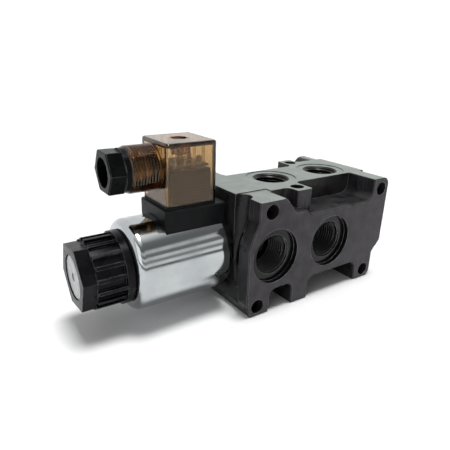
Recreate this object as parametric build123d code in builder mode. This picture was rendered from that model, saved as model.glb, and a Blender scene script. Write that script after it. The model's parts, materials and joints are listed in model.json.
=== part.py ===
from build123d import *
import os

# Six-way, two-position solenoid valve, in millimetres. +Z is up, the solenoid points to -X, and the
# origin is under the middle foot of the cast body, on its foot plane. Lengths called "at" are
# measured along +X from the end face that carries the solenoid.

# Cast body
end_x = -36.0
body_length = 107.0
body_depth = 74.0
body_height = 67.0
spool_z = 32.0
pad_half = 18.4
pad_end_at = 21.0
ridge_half = 16.0
pocket_floor_z = 54.0
shoulder_z = 57.0
cast_radius = 4.0
edge_break = 0.6
foot_height = 13.8
foot_lean = 1.0
foot_one_end_at = 12.4
foot_two_at = (29.6, 42.4)
foot_three_from_end = (21.8, 6.5)
slope_z = (17.0, 24.0)
block_start_at = 93.0
back_block_end_at = 18.0
block_wall_radius = 6.0
step_at = (37.0, 39.0)
shoulder_at = (20.5, 28.5)
block_step = 0.6
turn_at = 58.7
flange_thickness = 9.0
flange_overhang = 3.0
flange_setback = 2.9
flange_z = (8.0, 42.0, 56.0)
flange_radius = 10.0
corner_radius = 4.5
foot_edge_z = 3.0
hollow_radius = 4.8
hollow_top_depth = 7.0

# Bolt holes through the depth of the body, and threaded holes in the two top lugs
bolt_hole_radius = 4.25
upper_bolt_at = 11.0
upper_bolt_drop = 6.7
lower_bolt_at = 4.2
lower_bolt_z = 6.0
bolt_spacing = 89.0
lug_at = (34.0, 45.0)
lug_reach = 31.0
lug_root = 23.0
lug_hole_y = 24.0
lug_hole_radius = 4.0
lug_hole_depth = 12.0
lug_corner = 1.0

# Threaded ports and the galleries that they feed
port_radius = 10.4775
port_thread_depth = 16.0
port_passage_radius = 6.5
port_z = 34.0
side_spotface_radius = 15.8
side_spotface_depth = 3.0
top_spotface_radius = 15.5
top_spotface_depth = 0.5
port_chamfer = 0.9
gallery_at = 15.34
gallery_pitch = 14.12
gallery_width = 8.0
gallery_radius = 12.0
galleries = 6
front_ports = (0, 3)
back_ports = (1, 4)
top_ports = (2, 5)
top_port_offset = -3.4

# Spool, its stroke and its spring
spool_radius = 8.0
spool_fit = 0.02
spool_waist_radius = 4.4
stroke = 4.0
spool_start_at = 4.0
spool_end_at = 95.0
spool_chamfer = 0.4
seat_thickness = 1.5
seat_fit = 0.5
seat_hole_radius = 1.5
spring_radius = 5.6
spring_wire = 0.75
spring_turns = 5
spring_gap = 0.1

# End plug
plug_radius = 12.0
plug_length = 10.0
plug_bore_radius = 8.7
plug_head_across_flats = 30.0
plug_head_thickness = 7.0
plug_wall = 4.0
socket_across_flats = 8.0
socket_depth = 2.4
plug_chamfer = 1.2
seal_groove = (2.4, 0.8)
seal_wire = 0.35

# Solenoid tube
tube_radius = 11.5
tube_bore_radius = 9.5
tube_end_at = -81.2
stub_radius = 12.0
stub_length = 8.6
stub_bore_radius = 8.5
collar_radius = 14.5
collar_thickness = 2.4
pole_start_at = -26.0
pole_end_at = 2.0
pin_radius = 2.0
pin_fit = 0.08
armature_fit = 0.08
armature_at = (-56.5, -30.5)
armature_slot_radius = 1.0
armature_slot_reach = 6.9
armature_chamfer = 0.5
end_stop_inner_at = -63.0
end_stop_head = 2.0
override_radius = 2.0
override_gap = 0.4
override_flange_radius = 3.6
override_flange = 2.0
override_recess = 0.3
override_seal_wire = 0.52
override_groove = (1.8, 1.3)
override_seal_from_flange = 5.0

# Coil
coil_radius = 24.6
coil_wall = 1.5
coil_at = (-58.2, -4.4)
coil_corner = 4.5
coil_fit = 0.3
coil_plate = 3.0
coil_rim = 1.0
coil_end_corner = 2.6
bobbin_wall = 1.2
bobbin_flange = 1.5
winding_radius = 20.2
winding_gap = 0.4
plate_across = 38.0
window_length = 10.0
base_at = (-39.6, -3.8)
base_half = 15.5
base_top_z = 62.4
base_bottom_z = 44.5
base_gap = 0.3
base_corner = 1.5
moulded_break = 0.5
blade_thickness = 0.8
blade_width = 6.3
blade_height = 9.5
blade_reach = 9.0
blade_root = 4.0

# Coil nut
nut_face_at = -83.7
nut_across_flats = 31.0
nut_turn = -8.0
nut_hex_length = 7.0
nut_grip_radius = 18.5
nut_collar_radius = 19.4
nut_collar = 4.2
nut_grooves = 18
nut_groove_width = 4.5
nut_groove_depth = 2.0
nut_fit = 0.05
nut_gap = 0.1
nut_corner = 0.8
nut_seal_wire = 0.95
nut_seal_room = 3.4

# Plug connector
plug_at = -23.7
plug_size = 29.0
gasket_thickness = 2.0
housing_height = 31.4
housing_wall = 1.8
housing_roof = 2.4
housing_corner = 2.2
neck_radius = 11.8
neck_bore_radius = 8.5
neck_z = 82.3
neck_end_at = -54.0
screw_recess_radius = 4.4
screw_recess_depth = 4.6
column_wall = 1.4
column_floor = 3.0
housing_edge = 1.3
neck_chamfer = 0.6
block_size = 24.0
block_height = 17.0
joint_gap = 0.05
gasket_slot_gap = 0.4
terminal_size = (8.2, 5.4)
terminal_reach = 7.4
terminal_lift = 1.5
terminal_height = 12.5
terminal_slot_gap = 0.2
terminal_screw_radius = 2.6
terminal_screw_height = 2.4
driver_slot = (0.9, 0.9)
board_size = (20.0, 21.0)
board_thickness = 1.0
board_lift = 1.2
board_shift = 1.0
board_hole_gap = 0.5
lamp_radius = 1.5
lamp_height = 3.6
lamp_place = (8.4, 5.5)

# Fixing screw and the insert that it screws into
screw_radius = 1.5
screw_hole_radius = 1.7
screw_head_radius = 2.8
screw_head_height = 3.0
insert_radius = 2.8
insert_height = 5.0
insert_gap = 0.05
washer_thickness = 0.6
screw_slot = (1.0, 1.2)

# Cable gland
gland_face_at = -64.8
gland_hex_length = 8.0
gland_across_flats = 20.0
gland_collar_radius = 11.0
gland_shank_radius = 8.4
gland_shank_length = 8.0
gland_bore_radius = 6.4
gland_mouth_radius = 7.4
gland_mouth_depth = 5.0
gland_gap = 0.1
gland_fit = 0.05
gland_washer = 0.6
gland_washer_hole_radius = 5.0
gland_seal_length = 6.0
cable_hole_radius = 4.0

# Values that follow from the ones above
half_depth = body_depth / 2
far_x = end_x + body_length
turn_x = end_x + turn_at
spool_bore_radius = spool_radius + spool_fit
block_start_z = base_top_z + gasket_thickness
housing_top_z = block_start_z + housing_height
blade_places = ((0, blade_reach, 0), (0, -blade_reach, 0), (blade_reach, 0, 90))
terminal_places = ((0, terminal_reach, 0), (0, -terminal_reach, 0), (terminal_reach, 0, 90))
plug_x = end_x + plug_at
coil_bore_radius = tube_radius + coil_fit
insert_bottom_z = base_top_z - insert_height
front_plate_at = coil_at[0] + coil_wall
rear_plate_at = coil_at[1] - coil_plate - coil_rim
bobbin_at = (front_plate_at + coil_plate, rear_plate_at)
nut_end_at = coil_at[0] - nut_gap
parts_folder = "parts"


def across_x(at):
    """The plane that faces +X at this distance from the end face, with its centre on the spool's axis."""
    return Plane((end_x + at, 0, spool_z), x_dir=(0, 1, 0), z_dir=(1, 0, 0))


def across_gland(at):
    """The plane that faces +X at this distance from the end face, with its centre on the gland's axis."""
    return Plane((end_x + at, 0, neck_z), x_dir=(0, 1, 0), z_dir=(1, 0, 0))


def gallery_x(index):
    return end_x + gallery_at + index * gallery_pitch


def port_mouth(builder, face, depth):
    """The circle where a port's thread meets the floor of its spotface."""
    mouth = face.offset(-depth).origin
    circles = builder.edges().filter_by(GeomType.CIRCLE)
    threads = circles.filter_by(lambda e: abs(e.radius - port_radius) < 0.01)
    return threads.filter_by(lambda e: (e.arc_center - mouth).length < 0.01)


def o_ring(at, radius, wire):
    """A ring seal round the spool's axis."""
    with BuildPart() as ring:
        with BuildSketch(Plane.XZ):
            with Locations((end_x + at, spool_z + radius)):
                Circle(wire)
        revolve(axis=Axis((0, 0, spool_z), (1, 0, 0)))
    return ring.part


def seal_groove_profile(at, radius, groove):
    """Cross-section of a ring groove, centred on this radius round the spool's axis."""
    with BuildSketch(Plane.XZ) as profile:
        with Locations((end_x + at, spool_z + radius)):
            Rectangle(groove[0], 2 * groove[1])
    return profile.sketch


def save(shape, name):
    shape.label = name
    export_step(shape, os.path.join(parts_folder, name + ".step"))


def top_outline(wall_at):
    """Top of the front flange from right to left: block, low wall over the ports, step and shoulder."""
    return [
        (end_x + wall_at, body_height, edge_break),
        (end_x + wall_at, pocket_floor_z, block_wall_radius),
        (end_x + step_at[1], pocket_floor_z, 1.0),
        (end_x + step_at[0], shoulder_z, 1.0),
        (end_x + shoulder_at[1], shoulder_z, 3.0),
        (end_x + shoulder_at[0], body_height, 7.0),
    ]


def turned(corners):
    """The same corners seen from the back: half a turn about the vertical line at turn_at."""
    return [(2 * (end_x + turn_at) - x, z, r) for x, z, r in reversed(corners)]


def body_outline(top):
    """Corners of the cast outline, each with its corner radius."""
    foot_three = far_x - foot_three_from_end[0]
    low_right = far_x - foot_three_from_end[1]
    return [
        (end_x - edge_break, 0, edge_break),
        (end_x + foot_one_end_at, 0, edge_break),
        (end_x + foot_one_end_at + foot_lean, foot_height, 5.0),
        (end_x + foot_two_at[0], foot_height, 4.0),
        (end_x + foot_two_at[0], 0, edge_break),
        (end_x + foot_two_at[1], 0, edge_break),
        (end_x + foot_two_at[1], foot_height, 5.0),
        (foot_three - foot_lean, foot_height, 6.0),
        (foot_three, 0, edge_break),
        (low_right, 0, cast_radius),
        (low_right, slope_z[0], 2.0),
        (far_x, slope_z[1], cast_radius),
        (far_x, body_height, corner_radius),
        *top,
        (end_x + flange_setback, body_height, 1.2),
        (end_x + flange_setback, flange_z[2], flange_radius),
        (end_x - flange_overhang, flange_z[1], flange_radius),
        (end_x - flange_overhang, flange_z[0], cast_radius),
    ]


os.makedirs(parts_folder, exist_ok=True)

# Cast body: the outline right through the depth, then the raised top, then the cuts
with BuildPart() as valve_body:
    back_top = turned(top_outline(2 * turn_at - back_block_end_at))
    for side, top in ((1, top_outline(block_start_at)), (-1, back_top)):
        corners = body_outline(top)
        points = [(x, z) for x, z, _ in corners]
        radii = [r for _, _, r in corners]
        with BuildSketch(Plane.XZ):
            with BuildLine():
                FilletPolyline(*points, radius=radii, close=True)
            make_face()
        extrude(amount=side * half_depth)
    for face in (valve_body.faces().sort_by(Axis.Y)[0], valve_body.faces().sort_by(Axis.Y)[-1]):
        chamfer(face.edges(), edge_break)

    # raised top, with the two lugs
    with BuildSketch(Plane.XY.offset(pocket_floor_z - 6)) as raised_top:
        with Locations((end_x + body_length / 2, 0)):
            Rectangle(body_length, 2 * ridge_half)
        with Locations((end_x, 0)):
            Rectangle(lug_at[0], lug_root, align=(Align.MIN, Align.MAX))
        with Locations((end_x + lug_at[0], 0)):
            Rectangle(lug_at[1] - lug_at[0], lug_reach, align=(Align.MIN, Align.MAX))
        with Locations((far_x, 0)):
            Rectangle(far_x - turn_x + (lug_at[0] - turn_at), lug_root, align=(Align.MAX, Align.MIN))
        with Locations((2 * turn_x - end_x - lug_at[0], 0)):
            Rectangle(lug_at[1] - lug_at[0], lug_reach, align=(Align.MAX, Align.MIN))
        inner = raised_top.vertices().filter_by(lambda v: end_x + 10 < v.X < far_x - 10)
        fillet(inner.filter_by(lambda v: abs(v.Y) < lug_reach - 1), cast_radius)
        fillet(raised_top.vertices().filter_by(lambda v: abs(v.Y) > lug_reach - 1), lug_corner)
    extrude(amount=body_height - pocket_floor_z + 6)

    # pocket between the raised top and the front or back flange, beside each lug
    pocket_at = (lug_at[0] + shoulder_at[0] + 0.5) / 2
    pocket_size = (lug_at[0] - shoulder_at[0] - 0.5, lug_reach - lug_root)
    for x, side in ((end_x + pocket_at, -1), (2 * turn_x - end_x - pocket_at, 1)):
        with BuildSketch(Plane.XY.offset(pocket_floor_z)):
            with Locations((x, side * (lug_root + lug_reach) / 2)):
                RectangleRounded(*pocket_size, pocket_size[1] / 2 - 0.1)
        extrude(amount=body_height, mode=Mode.SUBTRACT)

    # the tops of the end blocks are a little lower than the machined pad between them
    step_x = end_x + (pad_end_at - flange_overhang) / 2
    for side in (-1, 1):
        with BuildSketch(Plane.XY.offset(body_height)):
            with Locations((step_x, side * (pad_half + half_depth) / 2)):
                Rectangle(pad_end_at + flange_overhang, half_depth - pad_half)
        extrude(amount=-block_step, mode=Mode.SUBTRACT)

    # the machined end face, set back from the flanges, with a slope below it down to the foot's edge
    face_half = half_depth - flange_thickness
    outer_x = end_x - 2 * flange_overhang
    with BuildSketch(Plane.XZ.offset(-face_half)):
        with BuildLine():
            Polyline(
                (end_x, 2 * body_height),
                (end_x, foot_height),
                (outer_x, 2 * foot_edge_z - foot_height),
                (outer_x, 2 * body_height),
                close=True,
            )
        make_face()
    extrude(amount=2 * face_half, mode=Mode.SUBTRACT)

    # cast hollow down each side of the end face, deep at the top and running out at the foot
    for side in (-1, 1):
        hollow_start = (end_x - hollow_radius, side * (pad_half + hollow_radius), foot_height)
        hollow_axis = (hollow_top_depth, 0, body_height - foot_height)
        with BuildSketch(Plane(hollow_start, x_dir=(0, 1, 0), z_dir=hollow_axis)):
            Circle(hollow_radius)
        extrude(amount=body_height, mode=Mode.SUBTRACT)

    # spool bore with its galleries, and the counterbores for the solenoid and the end plug
    with BuildSketch(across_x(0)):
        Circle(spool_bore_radius)
    extrude(amount=body_length, mode=Mode.SUBTRACT)
    for index in range(galleries):
        with BuildSketch(across_x(gallery_at + index * gallery_pitch - gallery_width / 2)):
            Circle(gallery_radius)
        extrude(amount=gallery_width, mode=Mode.SUBTRACT)
    with BuildSketch(across_x(0)):
        Circle(stub_radius)
    extrude(amount=stub_length + 0.2, mode=Mode.SUBTRACT)
    with BuildSketch(across_x(body_length)):
        Circle(plug_radius)
    extrude(amount=-plug_length, mode=Mode.SUBTRACT)

    # front and back ports
    for side, ports in ((-1, front_ports), (1, back_ports)):
        for index in ports:
            face = Plane((gallery_x(index), side * half_depth, port_z), x_dir=(1, 0, 0), z_dir=(0, side, 0))
            bore_depth = side_spotface_depth + port_thread_depth
            for radius, depth in (
                (side_spotface_radius, side_spotface_depth),
                (port_radius, bore_depth),
                (port_passage_radius, half_depth - gallery_radius + 2),
            ):
                with BuildSketch(face):
                    Circle(radius)
                extrude(amount=-depth, mode=Mode.SUBTRACT)
            chamfer(port_mouth(valve_body, face, side_spotface_depth), port_chamfer)

    # top ports
    for index in top_ports:
        face = Plane((gallery_x(index) + top_port_offset, 0, body_height))
        for radius, depth in (
            (top_spotface_radius, top_spotface_depth),
            (port_radius, top_spotface_depth + port_thread_depth),
            (port_passage_radius, body_height - spool_z - gallery_radius + 2),
        ):
            with BuildSketch(face):
                Circle(radius)
            extrude(amount=-depth, mode=Mode.SUBTRACT)
        chamfer(port_mouth(valve_body, face, top_spotface_depth), port_chamfer)

    # bolt holes through the depth, and the holes in the lugs
    upper_z = body_height - upper_bolt_drop
    with BuildSketch(Plane.XZ.offset(-half_depth)):
        with Locations(
            (end_x + upper_bolt_at, upper_z),
            (end_x + upper_bolt_at + bolt_spacing, upper_z),
            (end_x + lower_bolt_at, lower_bolt_z),
            (end_x + lower_bolt_at + bolt_spacing, lower_bolt_z),
        ):
            Circle(bolt_hole_radius)
    extrude(amount=body_depth, mode=Mode.SUBTRACT)
    lug_x = end_x + sum(lug_at) / 2
    with BuildSketch(Plane.XY.offset(body_height)):
        with Locations((lug_x, -lug_hole_y), (2 * turn_x - lug_x, lug_hole_y)):
            Circle(lug_hole_radius)
    extrude(amount=-lug_hole_depth, mode=Mode.SUBTRACT)
save(valve_body.part, "valve_body")

# End plug: a threaded cup with a hexagon head, which holds the return spring
with BuildPart() as end_plug:
    with BuildSketch(across_x(body_length - plug_length)):
        Circle(plug_radius)
    extrude(amount=plug_length)
    with BuildSketch(across_x(body_length)):
        RegularPolygon(plug_head_across_flats / 2, 6, major_radius=False)
    extrude(amount=plug_head_thickness)
    chamfer(end_plug.faces().sort_by(Axis.X)[-1].edges(), plug_chamfer)
    with BuildSketch(across_x(body_length - plug_length)):
        Circle(plug_bore_radius)
    extrude(amount=plug_length + plug_head_thickness - plug_wall, mode=Mode.SUBTRACT)
    with BuildSketch(across_x(body_length + plug_head_thickness)):
        RegularPolygon(socket_across_flats / 2, 6, major_radius=False)
    extrude(amount=-socket_depth, mode=Mode.SUBTRACT)
    add(seal_groove_profile(body_length - seal_groove[0] / 2, plug_radius, seal_groove))
    revolve(axis=Axis((0, 0, spool_z), (1, 0, 0)), mode=Mode.SUBTRACT)
save(end_plug.part, "end_plug")
seal_radius = seal_groove[1] / 2
save(o_ring(body_length - seal_groove[0] / 2, plug_radius - seal_radius, seal_wire), "end_plug_o_ring")

# Spool: lands joined by two waists, each centred on a gallery of the back ports less half the stroke
waist_length = 2 * gallery_pitch - gallery_width
with BuildPart() as spool:
    with BuildSketch(across_x(spool_start_at)):
        Circle(spool_radius)
    extrude(amount=spool_end_at - spool_start_at)
    for index in back_ports:
        waist_start = gallery_at + index * gallery_pitch - stroke / 2 - waist_length / 2
        with BuildSketch(across_x(waist_start)):
            Circle(spool_radius + 1)
            Circle(spool_waist_radius, mode=Mode.SUBTRACT)
        extrude(amount=waist_length, mode=Mode.SUBTRACT)
    chamfer(spool.edges().filter_by(GeomType.CIRCLE).group_by(Axis.X)[0], spool_chamfer)
save(spool.part, "spool")

with BuildPart() as spring_seat:
    with BuildSketch(across_x(spool_end_at)):
        Circle(spool_radius - seat_fit)
        Circle(seat_hole_radius, mode=Mode.SUBTRACT)
    extrude(amount=seat_thickness)
save(spring_seat.part, "spring_seat")

# Return spring: a helix with a short gap at each end, held between the seat and the plug
spring_start_at = spool_end_at + seat_thickness + spring_wire + spring_gap
spring_end_at = body_length + plug_head_thickness - plug_wall - spring_wire - spring_gap
spring_height = spring_end_at - spring_start_at
with BuildPart() as return_spring:
    with BuildLine() as coil_line:
        Helix(spring_height / spring_turns, spring_height, spring_radius,
              center=(end_x + spring_start_at, 0, spool_z), direction=(1, 0, 0))
    with BuildSketch(coil_line.line ^ 0):
        Circle(spring_wire)
    sweep(is_frenet=True)
save(return_spring.part, "return_spring")

# Solenoid tube with its collar and threaded stub
with BuildPart() as armature_tube:
    with BuildSketch(across_x(tube_end_at)):
        Circle(tube_radius)
    extrude(amount=-tube_end_at)
    with BuildSketch(across_x(-collar_thickness)):
        Circle(collar_radius)
    extrude(amount=collar_thickness)
    with BuildSketch(across_x(0)):
        Circle(stub_radius)
    extrude(amount=stub_length)
    with BuildSketch(across_x(tube_end_at)):
        Circle(tube_bore_radius)
    extrude(amount=-tube_end_at - collar_thickness, mode=Mode.SUBTRACT)
    with BuildSketch(across_x(-collar_thickness)):
        Circle(stub_bore_radius)
    extrude(amount=collar_thickness + stub_length, mode=Mode.SUBTRACT)
    add(seal_groove_profile(seal_groove[0] / 2, stub_radius, seal_groove))
    revolve(axis=Axis((0, 0, spool_z), (1, 0, 0)), mode=Mode.SUBTRACT)
save(armature_tube.part, "armature_tube")
save(o_ring(seal_groove[0] / 2, stub_radius - seal_radius, seal_wire), "tube_o_ring")

with BuildPart() as pole_piece:
    with BuildSketch(across_x(pole_start_at)):
        Circle(tube_bore_radius)
    extrude(amount=-pole_start_at - collar_thickness)
    with BuildSketch(across_x(-collar_thickness)):
        Circle(stub_bore_radius)
    extrude(amount=pole_end_at + collar_thickness)
    with BuildSketch(across_x(pole_start_at)):
        Circle(pin_radius + pin_fit)
    extrude(amount=pole_end_at - pole_start_at, mode=Mode.SUBTRACT)
save(pole_piece.part, "pole_piece")

with BuildPart() as armature:
    with BuildSketch(across_x(armature_at[0])):
        Circle(tube_bore_radius - armature_fit)
    extrude(amount=armature_at[1] - armature_at[0])
    with BuildSketch(across_x(armature_at[0])):
        with PolarLocations(armature_slot_reach, 2):
            Circle(armature_slot_radius)
    extrude(amount=armature_at[1] - armature_at[0], mode=Mode.SUBTRACT)
    rims = armature.edges().filter_by(GeomType.CIRCLE).filter_by(lambda e: e.radius > armature_slot_reach)
    chamfer(rims, armature_chamfer)
save(armature.part, "armature")

with BuildPart() as push_pin:
    with BuildSketch(across_x(armature_at[1])):
        Circle(pin_radius)
    extrude(amount=spool_start_at - armature_at[1] - joint_gap)
save(push_pin.part, "push_pin")

# End stop: closes the tube, and guides the override pin
override_inner_at = armature_at[0] - override_gap
end_stop_face_at = tube_end_at - end_stop_head
flange_room_at = end_stop_inner_at - stroke - override_flange - 2 * override_recess
override_seal_at = flange_room_at - override_seal_from_flange
with BuildPart() as end_stop:
    with BuildSketch(across_x(end_stop_face_at)):
        Circle(tube_radius - nut_gap)
    extrude(amount=end_stop_head)
    chamfer(end_stop.faces().sort_by(Axis.X)[0].edges(), spool_chamfer)
    with BuildSketch(across_x(tube_end_at)):
        Circle(tube_bore_radius)
    extrude(amount=end_stop_inner_at - tube_end_at)
    with BuildSketch(across_x(end_stop_face_at)):
        Circle(override_radius + pin_fit)
    extrude(amount=end_stop_inner_at - end_stop_face_at, mode=Mode.SUBTRACT)
    with BuildSketch(across_x(flange_room_at)):
        Circle(override_flange_radius + override_recess)
    extrude(amount=end_stop_inner_at - flange_room_at, mode=Mode.SUBTRACT)
    add(seal_groove_profile(override_seal_at, override_radius, override_groove))
    revolve(axis=Axis((0, 0, spool_z), (1, 0, 0)), mode=Mode.SUBTRACT)
save(end_stop.part, "end_stop")
override_seal_radius = override_radius + override_groove[1] - override_seal_wire - pin_fit
save(o_ring(override_seal_at, override_seal_radius, override_seal_wire), "override_o_ring")

with BuildPart() as override_pin:
    with BuildSketch(across_x(end_stop_face_at + override_recess)):
        Circle(override_radius)
    extrude(amount=override_inner_at - end_stop_face_at - override_recess)
    with BuildSketch(across_x(flange_room_at + override_recess)):
        Circle(override_flange_radius)
    extrude(amount=override_flange)
    fillet(override_pin.faces().sort_by(Axis.X)[0].edges(), moulded_break)
save(override_pin.part, "override_pin")

# Coil can: a drawn cup, open towards the body and along the window of the terminal base
with BuildPart() as coil_can:
    with BuildSketch(across_x(coil_at[0])):
        Circle(coil_radius)
    extrude(amount=coil_at[1] - coil_at[0])
    fillet(coil_can.faces().sort_by(Axis.X)[0].edges(), coil_corner)
    fillet(coil_can.faces().sort_by(Axis.X)[-1].edges(), coil_end_corner)
    with BuildSketch(across_x(coil_at[0] + coil_wall)):
        Circle(coil_radius - coil_wall)
    extrude(amount=rear_plate_at + coil_plate - coil_at[0] - coil_wall, mode=Mode.SUBTRACT)
    with BuildSketch(across_x(rear_plate_at)):
        Circle(coil_radius - coil_end_corner - coil_wall)
    extrude(amount=coil_at[1] - rear_plate_at, mode=Mode.SUBTRACT)
    with BuildSketch(across_x(coil_at[0])):
        Circle(coil_bore_radius)
    extrude(amount=coil_wall, mode=Mode.SUBTRACT)
    window_size = (window_length - base_at[0], 2 * (base_half + base_gap))
    with BuildSketch(Plane.XY.offset(spool_z)):
        with Locations((end_x + base_at[0] - base_gap, 0)):
            Rectangle(*window_size, align=(Align.MIN, Align.CENTER))
    extrude(amount=coil_radius + 1, mode=Mode.SUBTRACT)
save(coil_can.part, "coil_can")

with BuildPart() as coil_front_plate:
    with BuildSketch(across_x(front_plate_at)):
        Circle(coil_radius - coil_wall - coil_corner + edge_break)
        Circle(coil_bore_radius, mode=Mode.SUBTRACT)
    extrude(amount=coil_plate)
save(coil_front_plate.part, "coil_front_plate")

with BuildPart() as coil_rear_plate:
    with BuildSketch(across_x(rear_plate_at)):
        Circle(coil_radius - coil_wall)
        Circle(coil_bore_radius, mode=Mode.SUBTRACT)
        with Locations((0, spool_z)):
            Rectangle(2 * (base_half + base_gap), plate_across, mode=Mode.SUBTRACT)
    extrude(amount=coil_plate)
save(coil_rear_plate.part, "coil_rear_plate")

with BuildPart() as coil_bobbin:
    with BuildSketch(across_x(bobbin_at[0])):
        Circle(coil_bore_radius + bobbin_wall)
    extrude(amount=bobbin_at[1] - bobbin_at[0])
    for start in (bobbin_at[0], bobbin_at[1] - bobbin_flange):
        with BuildSketch(across_x(start)):
            Circle(winding_radius)
        extrude(amount=bobbin_flange)
    with BuildSketch(across_x(bobbin_at[0])):
        Circle(coil_bore_radius)
    extrude(amount=bobbin_at[1] - bobbin_at[0], mode=Mode.SUBTRACT)
save(coil_bobbin.part, "coil_bobbin")

with BuildPart() as coil_winding:
    with BuildSketch(across_x(bobbin_at[0] + bobbin_flange)):
        Circle(winding_radius - winding_gap)
        Circle(coil_bore_radius + bobbin_wall, mode=Mode.SUBTRACT)
    extrude(amount=bobbin_at[1] - bobbin_at[0] - 2 * bobbin_flange)
save(coil_winding.part, "coil_winding")

# Terminal base, moulded over the winding, with the insert and the three flat blades
with BuildPart() as terminal_base:
    with BuildSketch(Plane.XY.offset(base_bottom_z)):
        with Locations((end_x + sum(base_at) / 2, 0)):
            RectangleRounded(base_at[1] - base_at[0], 2 * base_half, base_corner)
    extrude(amount=base_top_z - base_bottom_z)
    chamfer(terminal_base.faces().sort_by(Axis.Z)[-1].edges(), moulded_break)
    with BuildSketch(across_x(base_at[0])):
        Circle(winding_radius + base_gap)
    extrude(amount=base_at[1] - base_at[0], mode=Mode.SUBTRACT)
    with BuildSketch(Plane.XY.offset(base_top_z)):
        with Locations((plug_x, 0)):
            Circle(insert_radius)
    extrude(amount=-insert_height, mode=Mode.SUBTRACT)
    for x, y, turn in blade_places:
        with BuildSketch(Plane.XY.offset(base_top_z)):
            with Locations((plug_x + x, y)):
                Rectangle(blade_width, blade_thickness, rotation=turn)
        extrude(amount=-blade_root, mode=Mode.SUBTRACT)
save(terminal_base.part, "terminal_base")

with BuildPart() as screw_insert:
    with BuildSketch(Plane.XY.offset(insert_bottom_z)):
        with Locations((plug_x, 0)):
            Circle(insert_radius)
            Circle(screw_radius + insert_gap, mode=Mode.SUBTRACT)
    extrude(amount=insert_height)
save(screw_insert.part, "screw_insert")

with BuildPart() as terminal_blades:
    for x, y, turn in blade_places:
        with BuildSketch(Plane.XY.offset(base_top_z - blade_root)):
            with Locations((plug_x + x, y)):
                Rectangle(blade_width, blade_thickness, rotation=turn)
        extrude(amount=blade_height + blade_root)
save(terminal_blades.part, "terminal_blades")

# Ring seals on each side of the coil
base_wire = (-collar_thickness - coil_at[1]) / 2 - joint_gap
base_ring_at = coil_at[1] + base_wire
save(o_ring(base_ring_at, tube_radius + base_wire + joint_gap, base_wire), "coil_base_o_ring")

# Coil nut: hexagon in front, ribbed grip behind, plain collar against the coil
grip_start_at = nut_face_at + nut_hex_length
collar_start_at = nut_end_at - nut_collar
groove_length = collar_start_at - grip_start_at
with BuildPart() as coil_nut:
    with BuildSketch(across_x(nut_face_at)):
        RegularPolygon(nut_across_flats / 2, 6, major_radius=False, rotation=nut_turn)
    extrude(amount=collar_start_at - nut_face_at)
    with BuildSketch(across_x(grip_start_at)):
        Circle(nut_grip_radius)
    extrude(amount=groove_length)
    for step in range(nut_grooves):
        turn = Location((end_x + grip_start_at, 0, spool_z), (360 / nut_grooves * step, 0, 0))
        with BuildSketch(Plane(turn) * Plane.YZ):
            with Locations((nut_grip_radius, 0)):
                Rectangle(2 * nut_groove_depth, nut_groove_width)
        extrude(amount=groove_length, mode=Mode.SUBTRACT)
    with BuildSketch(across_x(collar_start_at)):
        Circle(nut_collar_radius)
    extrude(amount=nut_collar)
    fillet(coil_nut.faces().sort_by(Axis.X)[-1].edges(), nut_corner)
    with BuildSketch(across_x(nut_face_at)):
        Circle(tube_radius + nut_fit)
    extrude(amount=nut_end_at - nut_face_at, mode=Mode.SUBTRACT)
    with BuildSketch(across_x(nut_end_at)):
        Circle(tube_radius + nut_seal_room)
    extrude(amount=-2 * nut_seal_wire - nut_gap, mode=Mode.SUBTRACT)
save(coil_nut.part, "coil_nut")
save(o_ring(nut_end_at - nut_seal_wire, tube_radius + nut_seal_room / 2, nut_seal_wire), "nut_o_ring")

# Plug connector: gasket, housing with its threaded neck, terminal block and terminals
gasket_slot = (blade_width + 2 * gasket_slot_gap, blade_thickness + 2 * gasket_slot_gap)
with BuildPart() as connector_gasket:
    with BuildSketch(Plane.XY.offset(base_top_z + joint_gap)):
        with Locations((plug_x, 0)):
            RectangleRounded(plug_size, plug_size, housing_corner)
            Circle(screw_hole_radius, mode=Mode.SUBTRACT)
        for x, y, turn in blade_places:
            with Locations((plug_x + x, y)):
                Rectangle(*gasket_slot, rotation=turn, mode=Mode.SUBTRACT)
    extrude(amount=gasket_thickness - joint_gap)
save(connector_gasket.part, "connector_gasket")

inner_size = plug_size - 2 * housing_wall
column_bottom_z = housing_top_z - screw_recess_depth - column_floor
with BuildPart() as connector_housing:
    with BuildSketch(Plane.XY.offset(block_start_z)):
        with Locations((plug_x, 0)):
            RectangleRounded(plug_size, plug_size, housing_corner)
    extrude(amount=housing_height)
    fillet(connector_housing.faces().sort_by(Axis.Z)[-1].edges(), housing_edge)
    with BuildSketch(across_gland(neck_end_at)):
        Circle(neck_radius)
    extrude(amount=plug_at - neck_end_at)
    chamfer(connector_housing.faces().sort_by(Axis.X)[0].edges(), neck_chamfer)
    with BuildSketch(Plane.XY.offset(block_start_z)):
        with Locations((plug_x, 0)):
            RectangleRounded(inner_size, inner_size, housing_edge)
    extrude(amount=housing_height - housing_roof, mode=Mode.SUBTRACT)
    with BuildSketch(across_gland(neck_end_at)):
        Circle(neck_bore_radius)
    extrude(amount=plug_at - neck_end_at, mode=Mode.SUBTRACT)
    with BuildSketch(Plane.XY.offset(column_bottom_z)):
        with Locations((plug_x, 0)):
            Circle(screw_recess_radius + column_wall)
    extrude(amount=housing_top_z - housing_roof / 2 - column_bottom_z)
    with BuildSketch(Plane.XY.offset(housing_top_z)):
        with Locations((plug_x, 0)):
            Circle(screw_recess_radius)
    extrude(amount=-screw_recess_depth, mode=Mode.SUBTRACT)
    with BuildSketch(Plane.XY.offset(housing_top_z)):
        with Locations((plug_x, 0)):
            Circle(screw_hole_radius)
    extrude(amount=-housing_height, mode=Mode.SUBTRACT)
save(connector_housing.part, "connector_housing")

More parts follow.
